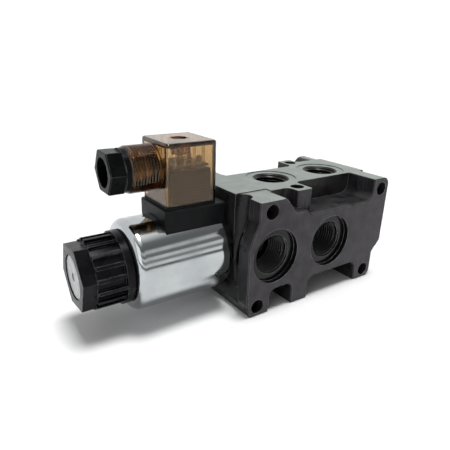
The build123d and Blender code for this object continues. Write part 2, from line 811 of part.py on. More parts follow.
with BuildPart() as terminal_block:
    with BuildSketch(Plane.XY.offset(block_start_z)):
        with Locations((plug_x, 0)):
            RectangleRounded(block_size, block_size, housing_edge)
    extrude(amount=block_height)
    chamfer(terminal_block.faces().sort_by(Axis.Z)[-1].edges(), moulded_break)
    with BuildSketch(Plane.XY.offset(block_start_z)):
        with Locations((plug_x, 0)):
            Circle(screw_hole_radius)
    extrude(amount=block_height, mode=Mode.SUBTRACT)
    for x, y, turn in terminal_places:
        with BuildSketch(Plane.XY.offset(block_start_z)):
            with Locations((plug_x + x, y)):
                Rectangle(*terminal_size, rotation=turn)
        extrude(amount=block_height, mode=Mode.SUBTRACT)
save(terminal_block.part, "terminal_block")

terminal_bottom_z = block_start_z + terminal_lift
terminal_top_z = terminal_bottom_z + terminal_height
blade_slot = (blade_width + 2 * terminal_slot_gap, blade_thickness + 2 * terminal_slot_gap)
with BuildPart() as terminal_clamps:
    for x, y, turn in terminal_places:
        with BuildSketch(Plane.XY.offset(terminal_bottom_z)):
            with Locations((plug_x + x, y)):
                Rectangle(*terminal_size, rotation=turn)
        extrude(amount=terminal_height)
    for x, y, turn in blade_places:
        with BuildSketch(Plane.XY.offset(terminal_bottom_z)):
            with Locations((plug_x + x, y)):
                Rectangle(*blade_slot, rotation=turn)
        extrude(amount=blade_height, mode=Mode.SUBTRACT)
save(terminal_clamps.part, "terminal_clamps")

with BuildPart() as terminal_screws:
    for x, y, turn in terminal_places:
        with BuildSketch(Plane.XY.offset(terminal_top_z)):
            with Locations((plug_x + x, y)):
                Circle(terminal_screw_radius)
        extrude(amount=terminal_screw_height)
        with BuildSketch(Plane.XY.offset(terminal_top_z + terminal_screw_height)):
            with Locations((plug_x + x, y)):
                Rectangle(3 * terminal_screw_radius, driver_slot[0])
        extrude(amount=-driver_slot[1], mode=Mode.SUBTRACT)
save(terminal_screws.part, "terminal_screws")

# Indicator board: a U of circuit board on top of the terminal block, with two small lamps
board_z = block_start_z + block_height + board_lift
with BuildPart() as indicator_board:
    with BuildSketch(Plane.XY.offset(board_z)):
        with Locations((plug_x + board_shift, 0)):
            Rectangle(*board_size)
        with Locations((plug_x, 0)):
            Circle(screw_recess_radius + column_wall + board_hole_gap, mode=Mode.SUBTRACT)
    extrude(amount=board_thickness)
save(indicator_board.part, "indicator_board")

with BuildPart() as indicator_lamps:
    with BuildSketch(Plane.XY.offset(board_z + board_thickness)):
        with Locations((plug_x + lamp_place[0], lamp_place[1]), (plug_x + lamp_place[0], -lamp_place[1])):
            Circle(lamp_radius)
    extrude(amount=lamp_height)
    fillet(indicator_lamps.faces().sort_by(Axis.Z)[-2:].edges(), 0.85 * lamp_radius)
save(indicator_lamps.part, "indicator_lamps")

# Fixing screw with its washer, in the recess on top of the housing
recess_floor_z = housing_top_z - screw_recess_depth
head_bottom_z = recess_floor_z + washer_thickness + joint_gap
with BuildPart() as screw_washer:
    with BuildSketch(Plane.XY.offset(recess_floor_z)):
        with Locations((plug_x, 0)):
            Circle(screw_recess_radius - moulded_break)
            Circle(screw_hole_radius, mode=Mode.SUBTRACT)
    extrude(amount=washer_thickness)
save(screw_washer.part, "screw_washer")

with BuildPart() as fixing_screw:
    with BuildSketch(Plane.XY.offset(insert_bottom_z)):
        with Locations((plug_x, 0)):
            Circle(screw_radius)
    extrude(amount=head_bottom_z - insert_bottom_z)
    with BuildSketch(Plane.XY.offset(head_bottom_z)):
        with Locations((plug_x, 0)):
            Circle(screw_head_radius)
    extrude(amount=screw_head_height)
    fillet(fixing_screw.faces().sort_by(Axis.Z)[-1].edges(), moulded_break)
    with BuildSketch(Plane.XY.offset(head_bottom_z + screw_head_height)):
        with Locations((plug_x, 0)):
            Rectangle(3 * screw_head_radius, screw_slot[0])
    extrude(amount=-screw_slot[1], mode=Mode.SUBTRACT)
save(fixing_screw.part, "fixing_screw")

# Cable gland: nut, washer and the rubber seal that it squeezes round the cable
shank_end_at = neck_end_at + gland_shank_length
with BuildPart() as gland_nut:
    with BuildSketch(across_gland(gland_face_at)):
        RegularPolygon(gland_across_flats / 2, 6, major_radius=False)
    extrude(amount=gland_hex_length)
    chamfer(gland_nut.faces().sort_by(Axis.X)[0].edges(), moulded_break)
    with BuildSketch(across_gland(gland_face_at + gland_hex_length)):
        Circle(gland_collar_radius)
    extrude(amount=neck_end_at - gland_gap - gland_face_at - gland_hex_length)
    with BuildSketch(across_gland(neck_end_at - gland_gap)):
        Circle(gland_shank_radius)
    extrude(amount=gland_shank_length + gland_gap)
    with BuildSketch(across_gland(gland_face_at)):
        Circle(gland_bore_radius)
    extrude(amount=shank_end_at - gland_face_at, mode=Mode.SUBTRACT)
    with BuildSketch(across_gland(gland_face_at)):
        Circle(gland_mouth_radius)
    extrude(amount=gland_mouth_depth, mode=Mode.SUBTRACT)
save(gland_nut.part, "gland_nut")

with BuildPart() as gland_ring:
    with BuildSketch(across_gland(shank_end_at + gland_fit)):
        Circle(neck_bore_radius - gland_fit)
        Circle(gland_washer_hole_radius, mode=Mode.SUBTRACT)
    extrude(amount=gland_washer)
save(gland_ring.part, "gland_washer")

with BuildPart() as gland_seal:
    with BuildSketch(across_gland(shank_end_at + gland_fit + gland_washer)):
        Circle(neck_bore_radius - gland_fit)
        Circle(cable_hole_radius, mode=Mode.SUBTRACT)
    extrude(amount=gland_seal_length)
save(gland_seal.part, "gland_seal")
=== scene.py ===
import bpy
import bmesh
import json
import math
from mathutils import Matrix, Vector


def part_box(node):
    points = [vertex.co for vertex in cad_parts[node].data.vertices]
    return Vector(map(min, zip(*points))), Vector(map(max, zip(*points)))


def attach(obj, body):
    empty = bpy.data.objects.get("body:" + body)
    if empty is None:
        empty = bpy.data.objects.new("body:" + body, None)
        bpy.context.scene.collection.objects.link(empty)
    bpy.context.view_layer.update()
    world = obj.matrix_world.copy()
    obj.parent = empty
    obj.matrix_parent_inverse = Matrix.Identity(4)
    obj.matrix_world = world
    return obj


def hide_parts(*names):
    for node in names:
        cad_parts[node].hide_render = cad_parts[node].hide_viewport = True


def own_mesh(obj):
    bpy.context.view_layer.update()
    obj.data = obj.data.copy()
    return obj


# Solenoid directional valve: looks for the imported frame. Everything is in metres.

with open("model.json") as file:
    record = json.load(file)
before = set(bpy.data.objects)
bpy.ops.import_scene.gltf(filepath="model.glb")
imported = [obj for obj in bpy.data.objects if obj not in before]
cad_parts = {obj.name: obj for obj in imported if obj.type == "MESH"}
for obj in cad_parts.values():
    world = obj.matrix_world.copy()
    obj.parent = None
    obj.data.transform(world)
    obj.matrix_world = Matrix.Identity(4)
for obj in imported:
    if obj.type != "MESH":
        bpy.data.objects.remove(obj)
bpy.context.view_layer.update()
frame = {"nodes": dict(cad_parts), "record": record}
nodes = frame["nodes"]
mounts = {m["name"]: m for m in frame["record"]["mounts"]}
mm = 0.001
print("frame loaded")


def hexColour(code):
    # sRGB hex to the linear colour that a shader takes
    parts = [int(code[i:i + 2], 16) / 255 for i in (1, 3, 5)]
    linear = [c / 12.92 if c <= 0.04045 else ((c + 0.055) / 1.055) ** 2.4 for c in parts]
    return (*linear, 1.0)


def perMm(size):
    # texture scale that gives features of this many millimetres
    return 1000.0 / size


def newTree(name):
    material = bpy.data.materials.new(name)
    material.use_nodes = True
    material.node_tree.nodes.clear()
    return material, material.node_tree


def addNode(tree, kind, inputs=None, **settings):
    # an input is a number, a hex colour, a socket, or a node, which stands for its first output in use
    node = tree.nodes.new(kind)
    for key, value in settings.items():
        setattr(node, key, value)
    for socket, value in (inputs or {}).items():
        if isinstance(value, bpy.types.Node):
            value = next(output for output in value.outputs if output.enabled)
        if isinstance(value, bpy.types.NodeSocket):
            tree.links.new(value, node.inputs[socket])
        else:
            node.inputs[socket].default_value = hexColour(value) if isinstance(value, str) else value
    return node


def insideAll(tree, limits):
    # 0 where a measure is short of its first limit, 1 where each has reached its second
    mask = None
    for measure, outside, inside in limits:
        step = addNode(tree, "ShaderNodeMapRange", {0: measure, 1: outside, 2: inside})
        if mask:
            step = addNode(tree, "ShaderNodeMath", {0: mask, 1: step}, operation="MULTIPLY")
        mask = step
    return mask


def paintOver(tree, colour, layers):
    # each layer covers the colour so far where its mask is 1
    for mask, layer in layers:
        colour = addNode(tree, "ShaderNodeMix", {0: mask, 6: colour, 7: layer}, data_type="RGBA")
    return colour


def grainAt(tree, place, size, detail, stretch=(1, 1, 1), roughness=0.55):
    # noise with features of this many millimetres, drawn out along an axis whose stretch is under 1
    placed = addNode(tree, "ShaderNodeMapping", {"Vector": place, "Scale": stretch})
    return addNode(tree, "ShaderNodeTexNoise",
                   {"Vector": placed, "Scale": perMm(size), "Detail": detail, "Roughness": roughness})


def edgeBend(tree, edged):
    # 1 on a flat face, and less where the rounded normal leaves the flat one
    flat = addNode(tree, "ShaderNodeNewGeometry").outputs["Normal"]
    return addNode(tree, "ShaderNodeVectorMath", {0: edged, 1: flat}, operation="DOT_PRODUCT")


cloudSpread = (0.3, 0.7)  # the part of a noise over which roughness goes from least to most
grainStrength = 0.5  # how much of a grain's height its bump shows
bevelSamples = 6

castIronLook = {
    "cast": "#18181a", "castLight": "#2e2d2e",  # sand cast skin
    "side": "#2d2a2e", "sideLight": "#454146", "fleck": "#0e0e0f",  # milled side faces
    "top": "#757c77", "topLight": "#8b938d",  # milled top pad
    # the bores' near black is partly the oil film and partly painted shade inside the recess
    "bore": "#0b0b0c", "edgeWearAndGlint": "#a4a6a3",
    # millimetres; sand and flecks are drawn about twice as coarse as the real ones, so that they show
    "sandGrain": 0.55, "millGrain": 0.25, "fleckSize": 0.7, "cloud": 9.0, "edge": 0.3,
    "grainDepth": 0.07,
    "castRough": 0.2, "milledRough": 0.36, "cloudRough": 0.48, "oilRough": 0.14, "shine": 0.26,
    # noise levels where each pattern starts and is full
    "blotches": (0.35, 0.7), "flecks": (0.54, 0.68), "strokes": (0.35, 0.65),
    "wearAndGlintCloud": (0.32, 0.52), "wearAndGlintBend": (0.985, 0.9),
    # a milled face is this square to its axis, and lies this far under the body's top or side
    "square": (0.93, 0.99), "topSkin": (1.5, 1.0), "sideSkin": (1.2, 0.9),
    # the lugs' upright faces: heights, distances from the middle, and how much they look up
    "lugFrom": (54.5, 55.0), "lugInner": (23.2, 23.6), "lugOuter": (31.6, 31.2),
    "lugUpright": (0.4, 0.2),
    # oil in the ports: how wide, how far under the rim, and how deep
    "boreRadius": 11.6, "spotfaceRadius": 15.95, "underRim": 0.1, "fade": 0.05,
    "boreDepth": 22.0, "deepFade": 1.0,
}


def phosphatedCastIron(look):
    # grey iron, sand cast, then milled on the mounting faces and manganese phosphated:
    # near black and grainy where cast, smoother and paler where the cutter has been
    material, tree = newTree("phosphatedCastIron")
    place = addNode(tree, "ShaderNodeTexCoord").outputs["Object"]
    spot = addNode(tree, "ShaderNodeSeparateXYZ", {0: place}).outputs
    trueNormal = addNode(tree, "ShaderNodeNewGeometry").outputs["True Normal"]
    facing = addNode(tree, "ShaderNodeSeparateXYZ", {0: trueNormal}).outputs
    sideways, upright, depth = (addNode(tree, "ShaderNodeMath", {0: source}, operation="ABSOLUTE")
                                for source in (facing["Y"], facing["Z"], spot["Y"]))
    edged = addNode(tree, "ShaderNodeBevel", {"Radius": look["edge"] * mm}, samples=bevelSamples)

    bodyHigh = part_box("valve_body")[1]
    topSkin = [bodyHigh.z - size * mm for size in look["topSkin"]]
    sideSkin = [bodyHigh.y - size * mm for size in look["sideSkin"]]
    lugFrom, lugInner, lugOuter = ([size * mm for size in look[key]]
                                   for key in ("lugFrom", "lugInner", "lugOuter"))
    topMask = insideAll(tree, [(facing["Z"], *look["square"]), (spot["Z"], *topSkin)])
    sideMask = insideAll(tree, [(sideways, *look["square"]), (depth, *sideSkin)])
    lugMask = insideAll(tree, [(spot["Z"], *lugFrom), (depth, *lugInner), (depth, *lugOuter),
                               (upright, *look["lugUpright"])])

    cloud = grainAt(tree, place, look["cloud"], 4.0)
    sand = grainAt(tree, place, look["sandGrain"], 3.0)
    mill = grainAt(tree, place, look["millGrain"], 2.0)
    strokes = grainAt(tree, place, look["millGrain"] * 2, 2.0, (1, 1, 0.03))
    fleck = grainAt(tree, place, look["fleckSize"], 4.0, roughness=0.7)

    blotchMask = insideAll(tree, [(cloud, *look["blotches"])])
    fleckMask = insideAll(tree, [(fleck, *look["flecks"])])
    strokeMask = insideAll(tree, [(strokes, *look["strokes"])])
    cast = paintOver(tree, look["cast"], [(blotchMask, look["castLight"])])
    lug = paintOver(tree, look["cast"], [(strokeMask, look["sideLight"])])
    side = paintOver(tree, look["side"], [(blotchMask, look["sideLight"]), (fleckMask, look["fleck"])])
    top = paintOver(tree, look["top"], [(blotchMask, look["topLight"])])

    # oily bores of the ports, and the spotfaces round the side ones: glossy for the oil film, and
    # painted near black, partly for the oil and partly as painted shade inside the recess
    portOilAndShade = None
    for port in (m for m in mounts.values() if m["kind"] == "threaded_hole" and "lug" not in m["name"]):
        reach, mouth = look["boreRadius"] * mm, -look["fade"] * mm
        if abs(port["axis"][1]) > 0.5:
            reach = look["spotfaceRadius"] * mm
            mouth = bodyHigh.y - look["underRim"] * mm - abs(port["pos_m"][1])
        bottom = mouth - look["boreDepth"] * mm
        centre, axis = port["pos_m"], port["axis"]
        away = addNode(tree, "ShaderNodeVectorMath", {0: place, 1: centre}, operation="SUBTRACT")
        across = addNode(tree, "ShaderNodeVectorMath", {0: away, 1: axis}, operation="CROSS_PRODUCT")
        radius = addNode(tree, "ShaderNodeVectorMath", {0: across}, operation="LENGTH")
        height = addNode(tree, "ShaderNodeVectorMath", {0: away, 1: axis}, operation="DOT_PRODUCT")
        here = insideAll(tree, [(radius, reach, reach - look["fade"] * mm),
                                (height, mouth, mouth - look["fade"] * mm),
                                (height, bottom, bottom + look["deepFade"] * mm)])
        if portOilAndShade:
            here = addNode(tree, "ShaderNodeMath", {0: portOilAndShade, 1: here}, operation="MAXIMUM")
        portOilAndShade = here

    # edges lightened partly as real wear and partly as a painted highlight along them
    wearAndGlintMask = insideAll(tree, [(edgeBend(tree, edged), *look["wearAndGlintBend"]),
                              (cloud, *look["wearAndGlintCloud"])])
    colour = paintOver(tree, cast, [(lugMask, lug), (sideMask, side), (topMask, top),
                                    (portOilAndShade, look["bore"]), (wearAndGlintMask, look["edgeWearAndGlint"])])

    grain = addNode(tree, "ShaderNodeMix", {0: sideMask, 2: sand, 3: mill}, data_type="FLOAT")
    grain = addNode(tree, "ShaderNodeMix", {0: topMask, 2: grain, 3: mill}, data_type="FLOAT")
    bump = addNode(tree, "ShaderNodeBump", {"Strength": grainStrength, "Height": grain,
                                            "Distance": look["grainDepth"] * mm, "Normal": edged})
    milled = addNode(tree, "ShaderNodeMath", {0: sideMask, 1: topMask}, operation="ADD")
    dull = addNode(tree, "ShaderNodeMapRange", {0: milled, 3: look["castRough"], 4: look["milledRough"]})
    rough = addNode(tree, "ShaderNodeMapRange", {0: cloud, 1: cloudSpread[0], 2: cloudSpread[1],
                                                 3: dull, 4: look["cloudRough"]})
    rough = addNode(tree, "ShaderNodeMix", {0: portOilAndShade, 2: rough, 3: look["oilRough"]}, data_type="FLOAT")
    shader = addNode(tree, "ShaderNodeBsdfPrincipled",
                     {"Base Color": colour, "Roughness": rough, "Normal": bump, "IOR": 1.5,
                      "Specular IOR Level": look["shine"]})
    addNode(tree, "ShaderNodeOutputMaterial", {"Surface": shader})
    return material


# the bright patches and the pale crests are painted highlights on the black thread
cutThreadLook = {"colour": "#141414", "glintPatch": "#3c3d3d", "crest": "#b0b2b1", "metallic": 0.85,
                 "roughness": 0.2, "grain": 0.5, "grainDepth": 0.03, "grainStrength": 0.3,
                 "edge": 0.12, "blotches": (0.4, 0.75), "crestGlintBend": (0.97, 0.85)}


def oiledCutIron(look):
    # cut thread under a thin oil film: black flanks, with painted glints in patches and a painted
    # highlight on the crests
    material, tree = newTree("oiledCutIron")
    place = addNode(tree, "ShaderNodeTexCoord").outputs["Object"]
    grain = grainAt(tree, place, look["grain"], 3.0)
    edged = addNode(tree, "ShaderNodeBevel", {"Radius": look["edge"] * mm}, samples=bevelSamples)
    blotchMask = insideAll(tree, [(grain, *look["blotches"])])
    crestGlintMask = insideAll(tree, [(edgeBend(tree, edged), *look["crestGlintBend"])])
    colour = paintOver(tree, look["colour"], [(blotchMask, look["glintPatch"]), (crestGlintMask, look["crest"])])
    bump = addNode(tree, "ShaderNodeBump", {"Strength": look["grainStrength"], "Height": grain,
                                            "Distance": look["grainDepth"] * mm, "Normal": edged})
    shader = addNode(tree, "ShaderNodeBsdfPrincipled",
                     {"Base Color": colour, "Metallic": look["metallic"], "Roughness": look["roughness"],
                      "Normal": bump})
    addNode(tree, "ShaderNodeOutputMaterial", {"Surface": shader})
    return material


# Sizes are in millimetres. Tool lines are finer on the real metal, and are drawn coarser to show.
metalLooks = {
    # drawn steel can, chromed: sharp reflections that run along it
    "chromedCan": {"colour": "#c0c4c5", "dark": "#abb1b3", "roughness": (0.06, 0.15), "cloud": 14.0,
                   "grain": 0.6, "stretch": (0.05, 1, 1), "depth": 0.004},
    # stamped disc, zinc plated: pale, with a soft sheen
    "zincPlatedDisc": {"colour": "#b0b2b3", "dark": "#949798", "roughness": (0.3, 0.42), "cloud": 3.0,
                       "grain": 0.18, "stretch": (1, 1, 1), "depth": 0.02},
    # turned plug, blacked in a hot bath: dark, with an oily sheen
    "blackOxideSteel": {"colour": "#2e2f31", "dark": "#1f2022", "roughness": (0.25, 0.4), "cloud": 6.0,
                        "grain": 0.3, "stretch": (0.1, 1, 1), "depth": 0.02},
    # bare turned steel: bright, with rings round its axis
    "turnedSteel": {"colour": "#c4c5c6", "dark": "#9c9ea0", "roughness": (0.2, 0.34), "cloud": 5.0,
                    "grain": 0.25, "stretch": (1, 0.1, 0.1), "depth": 0.01},
    # hard drawn wire: grey and fairly bright
    "springSteel": {"colour": "#9a9c9f", "dark": "#6c6e71", "roughness": (0.22, 0.36), "cloud": 2.0,
                    "grain": 0.3, "stretch": (1, 1, 1), "depth": 0.01},
    # small formed screws, zinc plated: nearly white
    "zincScrew": {"colour": "#cfd2d3", "dark": "#a5a8aa", "roughness": (0.18, 0.3), "cloud": 1.5,
                  "grain": 0.2, "stretch": (1, 1, 1), "depth": 0.01},
    # rolled strip, bare: yellow, with rolling lines
    "rolledBrass": {"colour": "#d9b463", "dark": "#b08a3e", "roughness": (0.2, 0.32), "cloud": 2.0,
                    "grain": 0.25, "stretch": (1, 1, 0.1), "depth": 0.01},
    # varnished wire wound in layers: red brown, with a ridge for each turn
    "enamelledCopper": {"colour": "#b3562a", "dark": "#8a3d1c", "roughness": (0.25, 0.35), "cloud": 2.0,
                        "grain": 0.5, "stretch": (1, 0.02, 0.02), "depth": 0.08},
}
metalSkin = {"edge": 0.15, "bevelSamples": 4, "cloud": (0.3, 0.75)}


def platedMetal(name, look):
    # bare or plated metal: clear reflections, broken by fine tool lines and a faint cloud in the finish
    material, tree = newTree(name)
    place = addNode(tree, "ShaderNodeTexCoord").outputs["Object"]
    cloud = grainAt(tree, place, look["cloud"], 4.0)
    lines = grainAt(tree, place, look["grain"], 3.0, look["stretch"])
    cloudMask = insideAll(tree, [(cloud, *metalSkin["cloud"])])
    colour = paintOver(tree, look["colour"], [(cloudMask, look["dark"])])
    smooth, dull = look["roughness"]
    rough = addNode(tree, "ShaderNodeMapRange", {0: cloud, 1: cloudSpread[0], 2: cloudSpread[1],
                                                 3: smooth, 4: dull})
    edged = addNode(tree, "ShaderNodeBevel", {"Radius": metalSkin["edge"] * mm},
                    samples=metalSkin["bevelSamples"])
    bump = addNode(tree, "ShaderNodeBump", {"Strength": grainStrength, "Distance": look["depth"] * mm,
                                            "Height": lines, "Normal": edged})
    shader = addNode(tree, "ShaderNodeBsdfPrincipled",
                     {"Base Color": colour, "Metallic": 1.0, "Roughness": rough, "Normal": bump})
    addNode(tree, "ShaderNodeOutputMaterial", {"Surface": shader})
    return material


# Sizes are in millimetres. A moulded grain is under 0.1 on the real parts, and is drawn coarser to show.
plasticLooks = {
    # glass-filled nylon: near black, with a hard satin skin
    "glassFilledNylon": {"colour": "#070708", "light": "#0d0e0f", "edgeWearAndGlint": "#85878a",
                         "roughness": (0.22, 0.34), "grain": 0.35, "cloud": 7.0, "depth": 0.03,
                         "edge": 0.3, "shine": 0.06},
    # the same nylon on the ribbed nut: its ribs are handled, so they shine more
    "ribbedNylon": {"colour": "#0b0a0d", "light": "#141317", "edgeWearAndGlint": "#707275",
                    "roughness": (0.24, 0.36), "grain": 0.35, "cloud": 7.0, "depth": 0.03,
                    "edge": 0.4, "shine": 0.11},
    # nylon moulded round the coil: charcoal, and duller
    "charcoalNylon": {"colour": "#0c0e0f", "light": "#141718", "edgeWearAndGlint": "#4a4d4f",
                      "roughness": (0.3, 0.44), "grain": 0.4, "cloud": 8.0, "depth": 0.03,
                      "edge": 0.35, "shine": 0.1},
    # nitrile rubber: matt black, with soft edges that don't catch the light
    "nitrileRubber": {"colour": "#060606", "light": "#0c0c0d", "edgeWearAndGlint": "#1a1b1c",
                      "roughness": (0.55, 0.7), "grain": 0.3, "cloud": 4.0, "depth": 0.03,
                      "edge": 0.1, "shine": 0.15},
    # grey nylon with moulded steps: fine dark lines, one above the other
    "greyNylon": {"colour": "#1f2023", "light": "#292a2d", "edgeWearAndGlint": "#85868a",
                  "roughness": (0.3, 0.45), "grain": 0.3, "cloud": 5.0, "depth": 0.06,
                  "edge": 0.15, "shine": 0.1,
                  "steps": 1.6, "groove": "#0a0a0b", "grooveFrom": (0.4, 0.15)},
    # pressed phenolic paper: brown board with a slight gloss
    "brownPhenolic": {"colour": "#3c2a1a", "light": "#4a3420", "edgeWearAndGlint": "#8a6a40",
                      "roughness": (0.3, 0.45), "grain": 0.4, "cloud": 2.0, "depth": 0.02,
                      "edge": 0.05, "shine": 0.3},
}
# edges are lightened partly as real wear and partly as a painted highlight
plasticSkin = {"cloud": (0.35, 0.7), "wearAndGlintBend": (0.98, 0.88), "wearAndGlintCloud": (0.3, 0.6)}


def mouldedPlastic(name, look):
    # moulded part: satin skin with a fine spark-eroded grain, and edges lightened partly as wear and
    # partly as a painted highlight
    material, tree = newTree(name)
    place = addNode(tree, "ShaderNodeTexCoord").outputs["Object"]
    edged = addNode(tree, "ShaderNodeBevel", {"Radius": look["edge"] * mm}, samples=bevelSamples)
    cloud = grainAt(tree, place, look["cloud"], 4.0)
    relief = grainAt(tree, place, look["grain"], 2.0)
    cloudMask = insideAll(tree, [(cloud, *plasticSkin["cloud"])])
    wearAndGlintMask = insideAll(tree, [(edgeBend(tree, edged), *plasticSkin["wearAndGlintBend"]),
                              (cloud, *plasticSkin["wearAndGlintCloud"])])
    colour = paintOver(tree, look["colour"], [(cloudMask, look["light"]), (wearAndGlintMask, look["edgeWearAndGlint"])])
    smooth, dull = look["roughness"]
    rough = addNode(tree, "ShaderNodeMapRange", {0: cloud, 1: cloudSpread[0], 2: cloudSpread[1],
                                                 3: smooth, 4: dull})
    if "steps" in look:
        # a wave of scale 1 is pi / 10 metres from crest to crest
        scale = perMm(look["steps"]) * math.pi / 10
        relief = addNode(tree, "ShaderNodeTexWave", {"Vector": place, "Scale": scale, "Distortion": 0.0},
                         bands_direction="Z")
        grooves = insideAll(tree, [(relief, *look["grooveFrom"])])
        colour = paintOver(tree, colour, [(grooves, look["groove"])])
    bump = addNode(tree, "ShaderNodeBump", {"Strength": grainStrength, "Distance": look["depth"] * mm,
                                            "Height": relief, "Normal": edged})
    shader = addNode(tree, "ShaderNodeBsdfPrincipled",
                     {"Base Color": colour, "Roughness": rough, "Normal": bump, "IOR": 1.5,
                      "Specular IOR Level": look["shine"]})
    addNode(tree, "ShaderNodeOutputMaterial", {"Surface": shader})
    return material


amberLook = {"tint": "#d4b65c", "density": 620.0, "ior": 1.585, "roughness": 0.02, "flow": 6.0,
             "flowDepth": 0.03, "flowStrength": 0.08, "shine": 0.42, "glaze": "#ffeedd"}


def smokedPolycarbonate(look):
    # smoked amber polycarbonate, polished mould: clear through one wall, deep brown along the edges
    material, tree = newTree("smokedPolycarbonate")
    place = addNode(tree, "ShaderNodeTexCoord").outputs["Object"]
    flow = grainAt(tree, place, look["flow"], 2.0)
    bump = addNode(tree, "ShaderNodeBump", {"Strength": look["flowStrength"], "Height": flow,
                                            "Distance": look["flowDepth"] * mm})
    shader = addNode(tree, "ShaderNodeBsdfPrincipled",
                     {"Base Color": "#ffffff", "Transmission Weight": 1.0, "IOR": look["ior"],
                      "Specular IOR Level": look["shine"], "Specular Tint": look["glaze"],
                      "Roughness": look["roughness"], "Normal": bump})
    absorb = addNode(tree, "ShaderNodeVolumeAbsorption",
                     {"Color": look["tint"], "Density": look["density"]})
    addNode(tree, "ShaderNodeOutputMaterial", {"Surface": shader, "Volume": absorb})
    return material


lampLook = {"colour": "#a89a88", "light": "#c8bca8", "grain": 0.4, "roughness": 0.22, "clear": 0.5}


def clearLampEpoxy(look):
    # unlit lamp: clear epoxy lens, lightly frosted
    material, tree = newTree("clearLampEpoxy")
    place = addNode(tree, "ShaderNodeTexCoord").outputs["Object"]
    grain = grainAt(tree, place, look["grain"], 2.0)
    colour = paintOver(tree, look["colour"], [(grain, look["light"])])
    shader = addNode(tree, "ShaderNodeBsdfPrincipled",
                     {"Base Color": colour, "Roughness": look["roughness"],
                      "Transmission Weight": look["clear"]})
    addNode(tree, "ShaderNodeOutputMaterial", {"Surface": shader})
    return material


castIron = phosphatedCastIron(castIronLook)
cutThread = oiledCutIron(cutThreadLook)
metals = {name: platedMetal(name, look) for name, look in metalLooks.items()}
plastics = {name: mouldedPlastic(name, look) for name, look in plasticLooks.items()}
amber = smokedPolycarbonate(amberLook)
lampLens = clearLampEpoxy(lampLook)
print("materials made")

finishes = {
    castIron: ["valve_body"],
    metals["blackOxideSteel"]: ["end_plug"],
    metals["turnedSteel"]: ["spool", "spring_seat", "armature_tube", "pole_piece", "armature",
                            "push_pin"],
    metals["springSteel"]: ["return_spring", "screw_washer"],
    metals["zincPlatedDisc"]: ["end_stop", "coil_front_plate", "coil_rear_plate", "override_pin"],
    metals["chromedCan"]: ["coil_can"],
    metals["enamelledCopper"]: ["coil_winding"],
    metals["rolledBrass"]: ["screw_insert", "terminal_blades", "terminal_clamps"],
    metals["zincScrew"]: ["terminal_screws", "fixing_screw", "gland_washer"],
    plastics["glassFilledNylon"]: ["gland_nut", "coil_bobbin"],
    plastics["ribbedNylon"]: ["coil_nut"],
    plastics["charcoalNylon"]: ["terminal_base"],
    plastics["greyNylon"]: ["terminal_block"],
    plastics["brownPhenolic"]: ["indicator_board"],
    plastics["nitrileRubber"]: ["end_plug_o_ring", "tube_o_ring", "override_o_ring", "coil_base_o_ring",
                                "nut_o_ring", "connector_gasket", "gland_seal"],
    amber: ["connector_housing"],
    lampLens: ["indicator_lamps"],
}


def coat(piece, material):
    piece.data.materials.clear()
    piece.data.materials.append(material)


for material, names in finishes.items():
    for name in names:
        coat(nodes[name], material)
print("frame pieces finished")


def solidMesh(name, points, faces):
    # closed mesh with its faces turned outward
    mesh = bpy.data.meshes.new(name)
    mesh.from_pydata([tuple(p) for p in points], [], faces)
    work = bmesh.new()
    work.from_mesh(mesh)
    bmesh.ops.recalc_face_normals(work, faces=work.faces)
    work.to_mesh(mesh)
    work.free()
    piece = bpy.data.objects.new(name, mesh)
    bpy.context.scene.collection.objects.link(piece)
    return piece


def threadRidge(start, axis, spec):
    # points and faces of one helical ridge; the crest sinks into the root at both ends
    along = Vector(axis).normalized()
    across = along.orthogonal().normalized()
    upward = along.cross(across)
    steps = int(spec["turns"] * spec["segments"])
    runOut = spec["segments"] // 3
    points, faces = [], []
    for step in range(steps + 1):
        angle = 2 * math.pi * step / spec["segments"]
        radial = across * math.cos(angle) + upward * math.sin(angle)
        advance = spec["pitch"] * step / spec["segments"]
        rise = min(1.0, step / runOut, (steps - step) / runOut)
        crest = spec["root"] + (spec["crest"] - spec["root"]) * rise
        for radius, shift in ((spec["root"], -0.5 * spec["base"]), (crest, -0.5 * spec["land"]),
                              (crest, 0.5 * spec["land"]), (spec["root"], 0.5 * spec["base"])):
            points.append(Vector(start) + along * (advance + shift) + radial * radius)
    for step in range(steps):
        low, high = 4 * step, 4 * (step + 1)
        for corner in range(4):
            after = (corner + 1) % 4
            faces.append((low + corner, low + after, high + after, high + corner))
    faces.append((0, 1, 2, 3))
    faces.append((4 * steps + 3, 4 * steps + 2, 4 * steps + 1, 4 * steps))
    return points, faces


# pipe thread of the six ports, and the metric thread of the two lugs: root and crest are radii,
# base and land are the ridge's widths there, and the ridge starts its lead outside the mount's place
portThread = {"pitch": 1.814 * mm, "root": 10.62 * mm, "crest": 9.42 * mm, "base": 1.75 * mm,
              "land": 0.28 * mm, "turns": 7.6, "segments": 72, "lead": 1.5 * mm}
lugThread = {"pitch": 1.25 * mm, "root": 4.1 * mm, "crest": 3.35 * mm, "base": 1.2 * mm,
             "land": 0.2 * mm, "turns": 8.0, "segments": 40, "lead": -1.4 * mm}
for name, mount in mounts.items():
    if mount["kind"] != "threaded_hole":
        continue
    spec = lugThread if "lug" in name else portThread
    inward = -Vector(mount["axis"])
    start = Vector(mount["pos_m"]) - inward * spec["lead"]
    points, faces = threadRidge(start, inward, spec)
    thread = solidMesh(name + "_thread", points, faces)
    coat(thread, cutThread)
    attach(thread, "valve_block")
print("threads cut")

